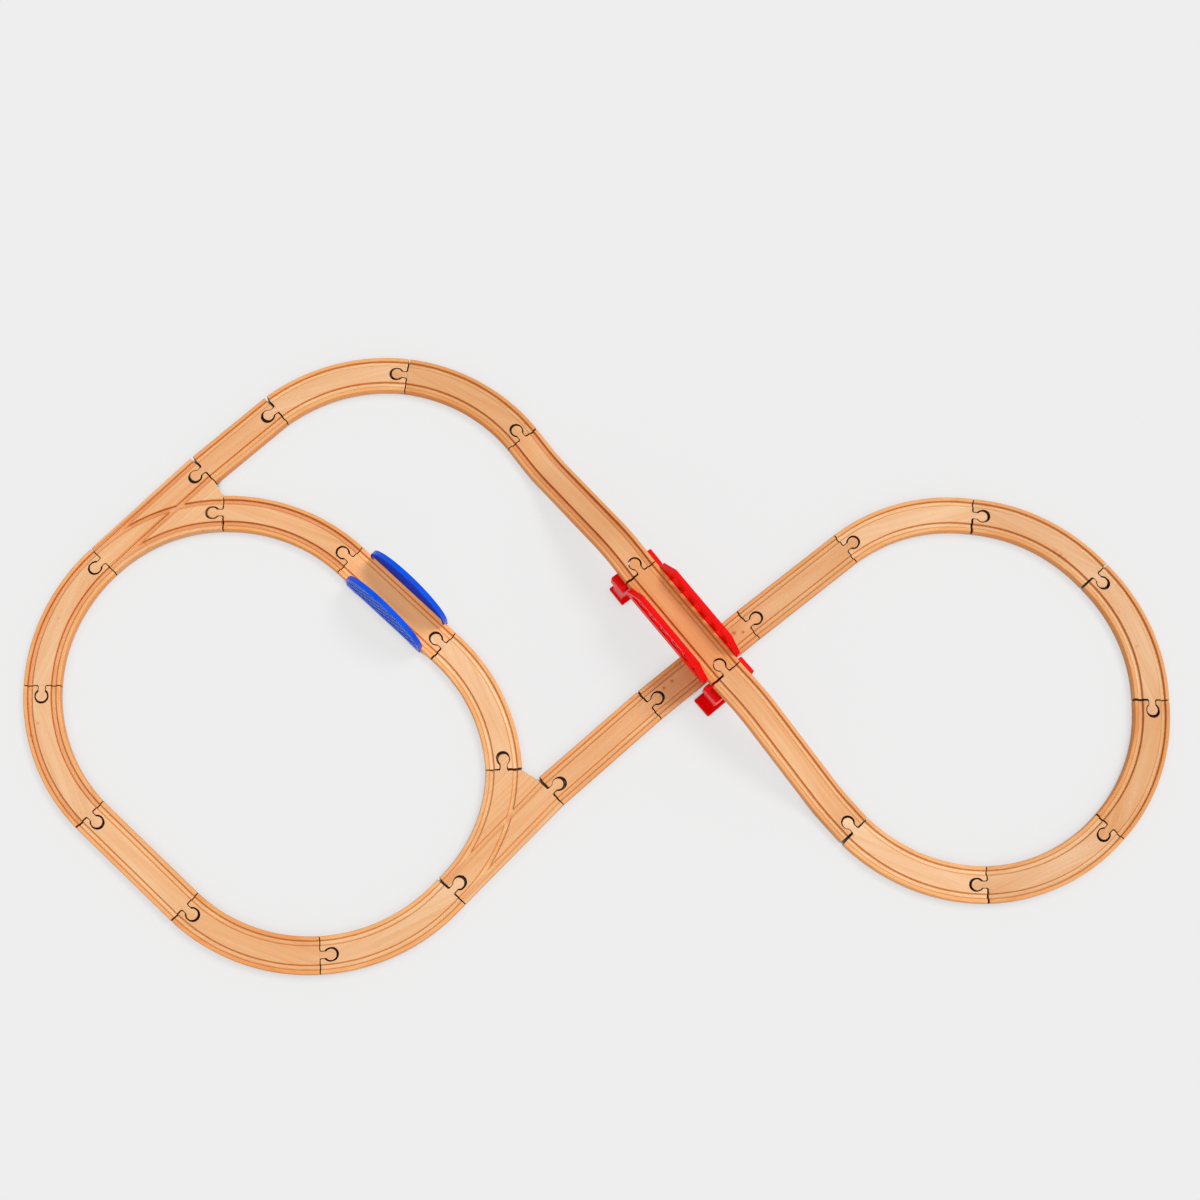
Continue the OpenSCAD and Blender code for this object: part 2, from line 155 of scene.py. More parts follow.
# %% [markdown]
# ## The middle lines
# The wheels run at a fixed distance from the middle line of a piece, so most of what follows asks how far a
# point is from that line. A straight has one line, a curve has one arc, and a switch has both. A switch is
# wider than its straight way, so that way is measured from the long side that faces away from the curve.

# %% Measure distances from the middle lines
def plank_middle(node):
    """The middle of a straight piece, or of a switch's straight way, on plan."""
    along = np.array([math.cos(angles[node]), math.sin(angles[node])])
    across = np.array([-along[1], along[0]])
    plan = np.array([v.co.xy for v in nodes[node].data.vertices])
    ends, sides = plan @ along, plan @ across
    aside = (sides.min() + sides.max()) / 2
    if node in SWITCHES:
        towards = np.array(centres[node].xy) @ across
        aside = sides.max() - TRACK_W / 2 if towards < aside else sides.min() + TRACK_W / 2
    return Vector((*(along * (ends.min() + ends.max()) / 2 + across * aside), 0))


def local_place(node, point):
    """A point's place along, across and above the straight way of a piece."""
    return Matrix.Rotation(-angles[node], 3, "Z") @ (point - middles[node])


def ways_of(node):
    """The ways of a piece, each a function from a point to its distance and the direction across."""
    across_plank = Matrix.Rotation(angles[node], 3, "Z") @ Vector((0, 1, 0))

    def straight(point):
        return abs(local_place(node, point).y), across_plank

    def curved(point):
        arm = (point - centres[node]) * Vector((1, 1, 0))
        return abs(arm.length - way_radius[node]), arm.normalized()

    if node in CURVES:
        return [curved]
    return [straight, curved] if node in SWITCHES else [straight]


middles = {node: plank_middle(node) for node in WOODEN}
print("ways", {node: len(ways_of(node)) for node in WOODEN})

# %% [markdown]
# ## Copies to work on
# The solids stay in the model for collision, so each one is copied and only its copy is changed. The mesh of
# a solid is loose triangles, which are merged first. The ramps are made of many thin slices, so their flat
# faces are also joined up, and then their edges can be rounded without a step at each slice. Elsewhere the
# triangles stay, because a large face with many corners can be filled wrongly after its edges are rounded.

# %% Copy the solids
RAMPS = [node for node in WOODEN if "ramp" in node]
SAME_POINT, FLAT = 0.002 * MM, math.radians(0.3)


def take(piece):
    """Make a piece the active object, and the only one that is selected."""
    bpy.ops.object.select_all(action="DESELECT")
    bpy.context.view_layer.objects.active = piece
    piece.select_set(True)


def copied(node):
    """A copy of a node with its triangles merged, and a ramp's flat faces joined up."""
    piece = bpy.data.objects.new(f"{node}_finished", nodes[node].data.copy())
    bpy.context.scene.collection.objects.link(piece)
    take(piece)
    bpy.ops.object.mode_set(mode="EDIT")
    bpy.ops.mesh.select_all(action="SELECT")
    bpy.ops.mesh.remove_doubles(threshold=SAME_POINT)
    if node in RAMPS:
        bpy.ops.mesh.dissolve_limited(angle_limit=FLAT)
    bpy.ops.object.mode_set(mode="OBJECT")
    return piece


pieces = {node: copied(node) for node in nodes}
print("copied", len(pieces), "solids with", sum(len(p.data.vertices) for p in pieces.values()), "points")

# %% [markdown]
# ## Room in the sockets
# A socket is cut a little deeper than its peg, so that pieces go together easily, and that leaves a dark
# crescent at the tip of each peg. A new hole could be cut, but it is simpler to move the inner half of the
# round wall further in. On the bridge the sockets are tighter.

# %% Deepen the sockets
ON_BRIDGE = RAMPS + ["bridge_deck"]
PLAY, BRIDGE_PLAY = 1.6 * MM, 0.25 * MM


def select_points(piece, test):
    """Select the points of a piece in edit mode that pass a test, and count them."""
    bpy.ops.mesh.select_all(action="DESELECT")
    mesh = bmesh.from_edit_mesh(piece.data)
    for vertex in mesh.verts:
        vertex.select = test(vertex.co)
    bmesh.update_edit_mesh(piece.data)
    return sum(vertex.select for vertex in mesh.verts)


def deepen_socket(piece, centre, inwards, depth):
    """Move the inner half of a socket's round wall further into its piece."""
    def on_inner_half(point):
        arm = (point - centre) * Vector((1, 1, 0))
        return abs(arm.length - SOCKET_R) < 0.1 * MM and arm @ inwards > -0.05 * MM

    bpy.ops.object.mode_set(mode="EDIT")
    bpy.ops.mesh.select_mode(type="VERT")
    count = select_points(piece, on_inner_half)
    bpy.ops.transform.translate(value=inwards * depth)
    bpy.ops.object.mode_set(mode="OBJECT")
    return count


moved = []
for node in WOODEN:
    take(pieces[node])
    for centre, inwards in sockets[node]:
        moved.append(deepen_socket(pieces[node], centre, inwards, BRIDGE_PLAY if node in ON_BRIDGE else PLAY))
print("deepened", len(moved), "sockets, by moving", min(moved), "to", max(moved), "points in each")

# %% [markdown]
# ## Room between the ends
# Laid track never closes up fully: a thin dark gap shows between two end faces. The solids leave a small gap,
# and each end face is set back a little more. All points that lie in the plane of an end face move together,
# so the peg's neck grows by as much and nothing tears. Thin slivers among the triangles have normals that
# can't be trusted, so only large faces tell where an end is.

# %% Set back the end faces
END_PLAY, PEG_ROOM, LARGE_FACE = 0.25 * MM, 10 * MM, 5 * MM ** 2


def end_planes(mesh, ways):
    """The upright end faces of a piece, each as its normal, its distance along that and a point on it."""
    planes = []
    for face in mesh.faces:
        middle, normal = face.calc_center_median(), face.normal
        measured = [way(middle) for way in ways]
        square_on = any(abs(normal @ across) < 0.02 for distance, across in measured
                        if PEG_ROOM < distance < TRACK_W / 2)
        known = any((normal - n).length < 0.02 and abs(normal @ middle - d) < 0.1 * MM for n, d, _ in planes)
        if square_on and not known and abs(normal.z) < 0.02 and face.calc_area() > LARGE_FACE:
            planes.append((normal.copy(), normal @ middle, middle))
    return planes


def ease_ends(piece, node, depth):
    """Set back the end faces of a piece, and count them."""
    bpy.ops.object.mode_set(mode="EDIT")
    bpy.ops.mesh.select_mode(type="VERT")
    planes = end_planes(bmesh.from_edit_mesh(piece.data), ways_of(node))
    for normal, offset, middle in planes:
        def on_end(point):
            return abs(point @ normal - offset) < 0.02 * MM and (point - middle).length < TRACK_W

        select_points(piece, on_end)
        bpy.ops.transform.translate(value=-normal * depth)
    bpy.ops.object.mode_set(mode="OBJECT")
    return len(planes)


eased = {}
for node in WOODEN:
    take(pieces[node])
    eased[node] = ease_ends(pieces[node], node, END_PLAY)
print("end faces set back", eased)

# %% [markdown]
# ## Long edges of ramps and switches
# Real track has rounded long edges, which feel smooth in the hand and catch a line of light. Straights and
# curves have them from the drawing, but ramps and switches come with square ones. Edges are picked by their
# distance from the middle line and rounded with a bevel. The lips of a ramp's grooves are broken as well.

# %% Round the long edges
GAUGE, GROOVE_W = 25.5 * MM, 5 * MM
EDGE_R, LIP, SHARP = 1.5 * MM, 0.7 * MM, math.radians(40)


def round_edges(piece, test, radius, segments):
    """Round those outward edges of a piece whose two ends pass a test, and count them."""
    bpy.ops.object.mode_set(mode="EDIT")
    bpy.ops.mesh.select_mode(type="EDGE")
    bpy.ops.mesh.select_all(action="DESELECT")
    mesh = bmesh.from_edit_mesh(piece.data)
    count = 0
    for edge in mesh.edges:
        sharp = edge.is_convex and edge.calc_face_angle() > SHARP
        if sharp and test(edge.verts[0].co, edge.verts[1].co):
            edge.select = True
            count += 1
    bmesh.update_edit_mesh(piece.data)
    if count:
        bpy.ops.mesh.bevel(offset=radius, segments=segments, affect="EDGES", clamp_overlap=False)
    bpy.ops.object.mode_set(mode="OBJECT")
    return count


def on_lines(node, offsets):
    """A test for edges that run along a piece at some distances from its middle lines."""
    def near(value, slack):
        return any(abs(value - offset) < slack for offset in offsets)

    def test(a, b):
        p, q = local_place(node, a), local_place(node, b)
        if abs(p.x - q.x) > abs(p.z - q.z) and all(near(abs(end.y), 0.05 * MM) for end in (p, q)):
            return True
        if node not in SWITCHES or abs(a.z - b.z) > 0.01 * MM:
            return False
        arms = [(end - centres[node]).xy.length for end in (a, b)]
        return all(near(abs(arm - SWITCH_R), 0.3 * MM) for arm in arms)

    return test


for node in RAMPS + SWITCHES:
    take(pieces[node])
    count = round_edges(pieces[node], on_lines(node, [TRACK_W / 2]), EDGE_R, 3)
    print(node, "has", count, "long edges rounded")
    if node in RAMPS:
        lips = [(GAUGE - GROOVE_W) / 2, (GAUGE + GROOVE_W) / 2]
        print(node, "has", round_edges(pieces[node], on_lines(node, lips), LIP, 1), "groove edges broken")

# %% [markdown]
# ## Every other edge
# A solid from a drawing has razor edges. Wood is sanded after it is cut and moulded plastic has small radii,
# so a bevel modifier rounds whatever is still sharp. It can overshoot by a hair at a crowded corner, so no
# point may end up below or above the solid. Shading by angle keeps the remaining creases, and the weighted
# normals keep large faces looking flat beside the small rounds.

# %% Soften the edges
SOFT_R = {"beech": 0.25 * MM, "gloss_red": 0.4 * MM, "gloss_blue": 0.5 * MM}
PIER_R = 1.2 * MM


def softened(piece, node, radius):
    """Round every edge that is still sharp, within the node's height, and keep the flats flat."""
    bevel = piece.modifiers.new("edges", "BEVEL")
    bevel.width = radius
    bevel.segments = 2
    bevel.limit_method = "ANGLE"
    bevel.angle_limit = SHARP
    bevel.use_clamp_overlap = False
    bpy.ops.object.modifier_apply(modifier=bevel.name)
    low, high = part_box(node)
    for vertex in piece.data.vertices:
        vertex.co.z = min(max(vertex.co.z, low.z), high.z)
    bpy.ops.object.shade_smooth_by_angle(angle=SHARP)
    flat = piece.modifiers.new("flat faces", "WEIGHTED_NORMAL")
    flat.keep_sharp = True
    bpy.ops.object.modifier_apply(modifier=flat.name)


for node, piece in pieces.items():
    take(piece)
    softened(piece, node, PIER_R if "pier" in node else SOFT_R[slot_of[node]])
print("softened", len(pieces), "pieces,", sum(len(p.data.polygons) for p in pieces.values()), "faces")

# %% [markdown]
# ## Telling the walls apart
# The walls of a groove are browned by the cutter and also get painted shade, the walls inside a joint show
# end grain that is darkened further as painted shade, and the long sides get painted shade, a little darker
# than the top. One finish can treat them differently if each face carries a mark. The marks are face
# attributes, which a material reads by name. They are set by the way a face is turned and by its distance
# from the middle lines.

# %% Mark the walls of the track
WALL_KINDS = ("groove_wall", "joint_wall", "long_side")


def wall_kind(face, ways):
    """The kind of wall that a face of a track piece belongs to, or None for its top and underside."""
    if abs(face.normal.z) > 0.8:
        return None
    measured = [(distance, abs(face.normal @ across)) for distance, across in (way(face.center) for way in ways)]
    beside = [distance for distance, turned in measured if turned > 0.5]
    if any(distance > TRACK_W / 2 - 2 * MM for distance in beside):
        return "long_side"
    if any(abs(distance - GAUGE / 2) < GROOVE_W / 2 + 1 * MM for distance in beside):
        return "groove_wall"
    return "joint_wall" if abs(face.normal.z) < 0.35 else None


def mark(piece, name, chosen):
    """Give the faces of a piece an attribute that is 1 where they are chosen, and count those."""
    layer = piece.data.attributes.new(name, "FLOAT", "FACE")
    layer.data.foreach_set("value", [float(one) for one in chosen])
    return sum(chosen)


marked_walls = dict.fromkeys(WALL_KINDS, 0)
for node in WOODEN:
    ways = ways_of(node)
    kinds = [wall_kind(face, ways) for face in pieces[node].data.polygons]
    for name in WALL_KINDS:
        marked_walls[name] += mark(pieces[node], name, [kind == name for kind in kinds])
print("marked faces", marked_walls)

# %% [markdown]
# ## Layers of the arched rails
# Each blue rail is a thin web inside an arched rim, with a raised lattice on its outer face. The inner face
# and the web between the ribs look darker than the rim, so they get painted shade, and the ribs get a painted
# highlight. Those faces stand at known distances from the middle of the track and face across it, so they
# are marked by that.

# %% Mark the layers of the arched rails
RAIL_LAYERS = (("inside", 0.0, 20.5 * MM), ("web", 21.9 * MM, 22.1 * MM), ("rib", 22.3 * MM, 30.0 * MM))
for node in nodes:
    if "arched" in node:
        track, faces = body_of[node], pieces[node].data.polygons
        across = Matrix.Rotation(angles[track], 3, "Z") @ Vector((0, 1, 0))
        out = [abs(local_place(track, face.center).y) for face in faces]
        facing = [abs(face.normal @ across) > 0.7 for face in faces]
        for name, low, high in RAIL_LAYERS:
            count = mark(pieces[node], name, [up and low < o < high for o, up in zip(out, facing)])
            print(node, "has", count, "faces marked", name)

# %% [markdown]
# ## The copies take over
# Each copy moves with the body of its solid, stands for that solid and takes its material slot. The solid
# itself is hidden and stays in the model for collision.

# %% Let the copies stand for the solids
for node, piece in pieces.items():
    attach(piece, body_of[node])
    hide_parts(node)

# %% [markdown]
# ## A short way to write node trees
# A material is a graph of nodes. Written out in full, each node takes several lines, so one helper adds a
# node, sets its options and fills its inputs: a plain value is set, and another node's output is linked.

# %% Node helpers
def srgb(r, g, b):
    """A colour picked as 8-bit screen values, as the linear values that shaders use."""
    def linear(v):
        v = v / 255
        return v / 12.92 if v <= 0.04045 else ((v + 0.055) / 1.055) ** 2.4
    return (linear(r), linear(g), linear(b), 1)


def fill(tree, node, inputs):
    """Set or link a node's inputs, by name or number."""
    for name, value in inputs.items():
        if isinstance(value, bpy.types.NodeSocket):
            tree.links.new(value, node.inputs[name])
        else:
            node.inputs[name].default_value = value


def add(tree, kind, inputs=None, **options):
    """A new node with its options set and its inputs filled or linked."""
    node = tree.nodes.new(kind)
    for name, value in options.items():
        setattr(node, name, value)
    fill(tree, node, inputs or {})
    return node


def maths(tree, operation, *values):
    """The result of one sum on sockets or numbers."""
    return add(tree, "ShaderNodeMath", dict(enumerate(values)), operation=operation).outputs[0]


def mixed(tree, share, first, second, blend="MIX"):
    """Two colours mixed by a share."""
    node = add(tree, "ShaderNodeMix", data_type="RGBA", blend_type=blend)
    fill(tree, node, {0: share, 6: first, 7: second})
    return node.outputs[2]


def ramp(tree, value, stops):
    """A value turned into a colour, from stops of (place, colour)."""
    node = add(tree, "ShaderNodeValToRGB", {"Fac": value})
    elements = node.color_ramp.elements
    while len(elements) < len(stops):
        elements.new(0.5)
    for element, (place, colour) in zip(elements, stops):
        element.position = place
        element.color = colour
    return node.outputs[0]


def marks_of(tree, name):
    """The value of a face attribute."""
    return add(tree, "ShaderNodeAttribute", attribute_name=name).outputs["Fac"]


def new_material(name):
    """A new material, its node tree and its shader."""
    material = bpy.data.materials.new(name)
    material.use_nodes = True
    return material, material.node_tree, material.node_tree.nodes["Principled BSDF"]


print("mid grey on screen is", round(srgb(128, 128, 128)[0], 3), "in a shader")

# %% [markdown]
# ## Sawn beech
# Beech is a pale, pinkish tan with long soft streaks and short darker flecks. Each piece was sawn from its
# own plank, so each has its own tint and its own seed. The straight under the blue arched rails is given a
# lighter tone, which is painted light that lifts the shade of the rails. The grain is noise that is stretched
# along the plank, from broad patches down to fine lines, and faint rings where the saw crossed the years of
# growth. It runs straight on through a curve, because the curve is cut from a straight plank.

# %% Grain
PALE, SOFT, TAN, WARM = srgb(248, 201, 157), srgb(241, 191, 145), srgb(241, 186, 136), srgb(236, 177, 126)
MUTED, DUN = srgb(234, 183, 138), srgb(228, 170, 119)
# The lighter tone of the straight under the blue rails is painted light, which lifts the shade of the rails.
ORANGE, LIFTED_FOR_RAIL_SHADE = srgb(236, 166, 108), srgb(255, 187, 132)
TONES = {
    "right_curve_1": PALE, "loop_curve_2": PALE, "right_curve_6": SOFT, "loop_curve_5": SOFT,
    "loop_curve_6": SOFT, "loop_curve_3": SOFT, "top_curve_1": SOFT, "right_curve_2": MUTED,
    "right_curve_5": MUTED, "right_curve_4": MUTED, "loop_straight": TAN, "loop_curve_1": TAN,
    "switch_left": TAN, "switch_right": TAN, "right_curve_3": DUN, "line_straight_1": DUN,
    "top_curve_2": DUN, "guarded_straight": LIFTED_FOR_RAIL_SHADE, "bridge_deck": ORANGE,
}
FLECK, FLECK_FROM = (0.84, 0.72, 0.6, 1), 0.68


def noise(tree, local, seed, depth, along, across, detail=2.0):
    """Noise in lumps per metre along and across the plank; a depth of 0 makes it the same at every height."""
    stretched = add(tree, "ShaderNodeMapping", {"Vector": local, "Scale": (along, across, across * depth)})
    return add(tree, "ShaderNodeTexNoise", {"Vector": stretched.outputs[0], "W": seed * 3.7, "Scale": 1.0,
                                            "Detail": detail}, noise_dimensions="4D").outputs["Fac"]


def year_rings(tree, local, seed, depth):
    """Rings round a line that runs nearly along the plank, below it."""
    around = add(tree, "ShaderNodeMapping", {
        "Vector": local, "Location": (0, 0.009 * math.sin(seed * 2.4), 0.012 + 0.02 * abs(math.sin(seed * 1.7))),
        "Rotation": (0, math.radians(4 * math.sin(seed * 5.1)), math.radians(3 * math.cos(seed * 3.3))),
        "Scale": (0.3, 1, depth)})
    return add(tree, "ShaderNodeTexWave", {"Vector": around.outputs[0], "Scale": 95.0, "Distortion": 5.0,
                                           "Detail": 2.0, "Detail Scale": 0.25},
               wave_type="RINGS", rings_direction="X").outputs["Fac"]


def sawn(tree, local, node, seed):
    """The colour of sawn beech, with its patches and its fine lines for roughness and bump."""
    depth = 0 if node in RAMPS else 1
    patches = noise(tree, local, seed, depth, 9, 22)
    fine = noise(tree, local, seed, depth, 14, 800)
    flecks = noise(tree, local, seed, depth, 160, 1500, 1.0)
    layers = [
        (patches, 0.3, 0.7, (1.02, 1.06, 1.1, 1), (0.97, 0.93, 0.88, 1)),
        (noise(tree, local, seed, depth, 5, 70, 3.0), 0.3, 0.7, (1.02, 1.06, 1.1, 1), (0.98, 0.94, 0.9, 1)),
        (year_rings(tree, local, seed, depth), 0.0, 1.0, (1.01, 1.03, 1.05, 1), (0.99, 0.95, 0.91, 1)),
        (fine, 0.3, 0.7, (1.02, 1.06, 1.1, 1), (0.98, 0.93, 0.88, 1)),
        (noise(tree, local, seed, depth, 8, 320), 0.3, 0.7, (1.02, 1.05, 1.08, 1), (0.98, 0.93, 0.88, 1)),
    ]
    colour = TONES.get(node, WARM)
    for value, low, high, light, dark in layers:
        colour = mixed(tree, 1.0, colour, ramp(tree, value, [(low, light), (high, dark)]), "MULTIPLY")
    fleck_share = maths(tree, "MULTIPLY", maths(tree, "GREATER_THAN", flecks, FLECK_FROM), 0.5)
    return mixed(tree, fleck_share, colour, FLECK, "MULTIPLY"), patches, fine


print("tones of", len(TONES), "pieces are picked one by one, and", len(WOODEN) - len(TONES), "share one")

# %% [markdown]
# ## Wheel grooves
# The cutter leaves the edges of the wheel grooves browned, and the dark lines along them are also painted
# shade of the groove walls. On most pieces the bed between them is painted lighter, as painted light that
# offsets the shade inside the groove; on some pieces the grooves are worn darker. These lines follow the
# middle line of the track, so they are painted by the distance from it: a plain offset on a straight, a
# radius on a curve. On a switch the lines of one way stop where the groove of the other way has cut through
# them.

# %% Lines along the grooves
WHITE = (1, 1, 1, 1)
STRIP, EDGE_TINT = (1.03, 0.86, 0.62, 1), (1.02, 0.93, 0.8, 1)
# Groove lines and walls are darkened partly as cutter browning and partly as painted shade; a fresh bed is
# lightened as painted light, a worn bed darkened as wear.
FRESH_GROOVE_SHADE_AND_LIGHT = {"bed": (1.06, 1.25, 1.25, 1), "line": (0.93, 0.75, 0.52, 1), "wall": (0.9, 0.68, 0.46, 1)}
WORN_AND_SHADED_GROOVE = {"bed": (1.0, 0.9, 0.78, 1), "line": (0.86, 0.6, 0.36, 1), "wall": (0.82, 0.55, 0.34, 1)}
WORN_GROOVES = ("loop_curve_1", "loop_curve_5", "loop_curve_6", "switch_left", "ramp_up")
groove_tones = {node: WORN_AND_SHADED_GROOVE if node in WORN_GROOVES else FRESH_GROOVE_SHADE_AND_LIGHT for node in WOODEN}


def way_distances(tree, place, local, node):
    """The distance of each shaded point from the middle line of every way of a piece."""
    distances = []
    if node not in CURVES:
        across = add(tree, "ShaderNodeSeparateXYZ", {0: local}).outputs["Y"]
        distances.append(maths(tree, "ABSOLUTE", across))
    if node in way_radius:
        arm = add(tree, "ShaderNodeMapping", {"Vector": place, "Location": -centres[node]}).outputs[0]
        flat = add(tree, "ShaderNodeVectorMath", {0: arm, 1: (1, 1, 0)}, operation="MULTIPLY").outputs[0]
        reach = add(tree, "ShaderNodeVectorMath", {0: flat}, operation="LENGTH").outputs["Value"]
        distances.append(maths(tree, "ABSOLUTE", maths(tree, "SUBTRACT", reach, way_radius[node])))
    return distances


def lined(tree, colour, distances, node):
    """A colour with the groove lines, partly painted shade, their beds, painted light where fresh, and the strips
    outside them.
    """
    line, bed = groove_tones[node]["line"], groove_tones[node]["bed"]
    rim = STRIP if node in CURVES else WHITE if node in SWITCHES else EDGE_TINT
    # The line stops paint shade along the groove edges, and the bed stops lighten or darken the groove floor.
    stops = [(0.45, WHITE), (0.495, line), (0.52, line), (0.57, bed), (0.7, bed), (0.755, line),
             (0.78, line), (0.83, rim), (1.0, rim)]
    for index, distance in enumerate(distances):
        band = ramp(tree, maths(tree, "DIVIDE", distance, TRACK_W / 2), stops)
        weight = 1.0
        if node in SWITCHES:
            off_other = maths(tree, "ABSOLUTE", maths(tree, "SUBTRACT", distances[1 - index], GAUGE / 2))
            weight = maths(tree, "GREATER_THAN", off_other, GROOVE_W / 2)
        colour = mixed(tree, weight, colour, band, "MULTIPLY")
    return colour


print("worn grooves on", len(WORN_GROOVES), "pieces and fresh ones on", len(WOODEN) - len(WORN_GROOVES))

# %% [markdown]
# ## Walls and knots
# The marked walls get their own tints. End grain soaks up more oil and goes browner, and its tint is also
# painted shade that makes the gaps between pieces read as dark lines. The long sides get painted shade, a
# little darker than the top. A few pieces have small knots or bruises, which are soft round spots placed
# where the photo shows them, each with its own size and strength.

# %% Tints of walls and knots
# The end-grain tint is partly painted shade that darkens the gaps, and the side tint is painted shade on the long
# sides.
END_GRAIN_AND_GAP_SHADE, SIDE_SHADE, KNOT = (0.3, 0.21, 0.16, 1), (0.9, 0.78, 0.64, 1), (0.62, 0.36, 0.18, 1)
TRACK_TOP = 12 * MM
KNOTS = {  # x, y and size in millimetres, and strength
    "underpass_straight": [(146.9, 19.4, 2.5, 0.9), (157.1, 20.5, 2.0, 0.9), (75.6, -35.0, 2.2, 0.9),
                           (66.5, -42.9, 2.0, 0.9)],
    "loop_curve_5": [(-617.5, -76.3, 2.2, 0.45), (-623.7, -89.5, 2.6, 0.5), (-621.7, -96.1, 2.0, 0.6)],
    "loop_curve_6": [(-602.0, 41.5, 1.8, 0.3)],
    "right_curve_5": [(519.1, 113.5, 3.0, 0.35), (524.5, 108.7, 3.5, 0.5), (529.9, 103.9, 3.0, 0.35)],
    "right_curve_4": [(604.0, 1.2, 2.0, 0.4), (586.9, 41.0, 1.6, 0.4), (570.4, 49.3, 1.6, 0.4)],
    "switch_left": [(-447.4, 141.3, 1.6, 0.8)],
}


def walled(tree, colour, node):
    """A colour with the tints of the marked walls, which are painted shade in part or in whole."""
    for name, shade in zip(WALL_KINDS, (groove_tones[node]["wall"], END_GRAIN_AND_GAP_SHADE, SIDE_SHADE)):
        colour = mixed(tree, marks_of(tree, name), colour, shade, "MULTIPLY")
    return colour


def knotted(tree, colour, place, node):
    """A colour with the knots of a piece."""
    for x, y, size, strength in KNOTS.get(node, []):
        spot = add(tree, "ShaderNodeVectorMath", {0: place, 1: (x * MM, y * MM, TRACK_TOP)}, operation="DISTANCE")
        share = add(tree, "ShaderNodeMapRange", {"Value": spot.outputs["Value"], "From Min": 0.3 * size * MM,
                                                 "From Max": 1.3 * size * MM, "To Min": strength, "To Max": 0.0})
        colour = mixed(tree, share.outputs[0], colour, KNOT, "MULTIPLY")
    return colour


print("knots", {node: len(spots) for node, spots in KNOTS.items()})

# %% [markdown]
# ## The finish of each track piece
# Now the layers are put together. A Mapping node turns the object's coordinates along the plank, so that
# every layer before it can think in lengths and widths. The wood is sanded and oiled, so it has a low, broad
# sheen that varies with the patches, and end grain is left rough. The fine lines also give a slight bump.

# %% Make the beech of each piece
SHEEN, END_ROUGH = 0.15, 0.4


def beech(node, seed):
    """The beech of one track piece."""
    material, tree, shader = new_material(f"beech_{node}")
    place = add(tree, "ShaderNodeTexCoord").outputs["Object"]
    local = add(tree, "ShaderNodeMapping", {"Vector": place, "Location": middles[node],
                                            "Rotation": (0, 0, angles[node])}, vector_type="TEXTURE").outputs[0]
    colour, patches, fine = sawn(tree, local, node, seed)
    colour = lined(tree, colour, way_distances(tree, place, local, node), node)
    colour = knotted(tree, walled(tree, colour, node), place, node)
    sanded = maths(tree, "MULTIPLY_ADD", patches, 0.25, 0.4)
    rough = maths(tree, "MULTIPLY_ADD", marks_of(tree, "joint_wall"), END_ROUGH, sanded)
    bump = add(tree, "ShaderNodeBump", {"Height": fine, "Strength": 0.1, "Distance": 0.15 * MM}).outputs[0]
    fill(tree, shader, {"Base Color": colour, "Roughness": rough, "Normal": bump, "Specular IOR Level": SHEEN})
    return material


for seed, node in enumerate(WOODEN):
    pieces[node].data.materials.clear()
    pieces[node].data.materials.append(beech(node, seed))
print("beech on", len(WOODEN), "pieces, with", len(set(TONES.values())) + 1, "tones")

# %% [markdown]
# ## Moulded plastic
# The side rails and piers are glossy moulded plastic in one strong colour. Moulded gloss is never quite even:
# it has a faint ripple and hazy patches, so a soft noise moves the tint and the roughness, and a weak bump
# breaks the reflections. On the blue rails the marked inner face and web get painted shade and are duller,
# and the ribs get a painted highlight. The pale wood between those rails shows no blue cast in the photo, so
# they don't colour the light that it gathers.

# %% Make the two plastics
BLACK = (0, 0, 0, 1)
# Painted shade on the inner face and the web of the blue rails, and a painted highlight on the ribs.
BLUE_SHADE_AND_HIGHLIGHT = [  # attribute, colour, share of that colour and added roughness
    ("inside", srgb(0, 45, 200), 0.8, 0.5),
    ("web", srgb(0, 52, 160), 0.85, 0.5),
    ("rib", srgb(60, 120, 225), 0.3, 0.0),
]


def gloss_plastic(name, colour, shade, shine, layers=()):
    """A moulded plastic of one colour with a darker shade in its hazy patches, and painted shade or highlight on
    its marked layers.
    """
    material, tree, shader = new_material(name)
    place = add(tree, "ShaderNodeTexCoord").outputs["Object"]
    haze = add(tree, "ShaderNodeTexNoise", {"Vector": place, "Scale": 70.0, "Detail": 4.0}).outputs["Fac"]
    ripple = add(tree, "ShaderNodeTexNoise", {"Vector": place, "Scale": 420.0, "Detail": 1.0}).outputs["Fac"]
    tint = mixed(tree, ramp(tree, haze, [(0.45, BLACK), (0.75, WHITE)]), colour, shade)
    rough = maths(tree, "MULTIPLY_ADD", haze, 0.15, 0.22)
    for layer, paint, share, dull in layers:
        marked = marks_of(tree, layer)
        tint = mixed(tree, maths(tree, "MULTIPLY", marked, share), tint, paint)
        rough = maths(tree, "MULTIPLY_ADD", marked, dull, rough)
    bump = add(tree, "ShaderNodeBump", {"Height": ripple, "Strength": 0.03, "Distance": 0.1 * MM}).outputs[0]
    fill(tree, shader, {"Base Color": tint, "Roughness": rough, "Normal": bump, "Specular IOR Level": shine})
    return material


plastics = {
    "gloss_red": gloss_plastic("red_plastic", srgb(246, 0, 0), srgb(234, 0, 0), 0.1),
    "gloss_blue": gloss_plastic("blue_plastic", srgb(0, 88, 238), srgb(0, 76, 222), 0.12, BLUE_SHADE_AND_HIGHLIGHT),
}
for node, slot in slot_of.items():
    if slot in plastics:
        pieces[node].data.materials.clear()
        pieces[node].data.materials.append(plastics[slot])
    if slot == "gloss_blue":
        pieces[node].visible_diffuse = False
print("plastic on", sum(slot in plastics for slot in slot_of.values()), "pieces")

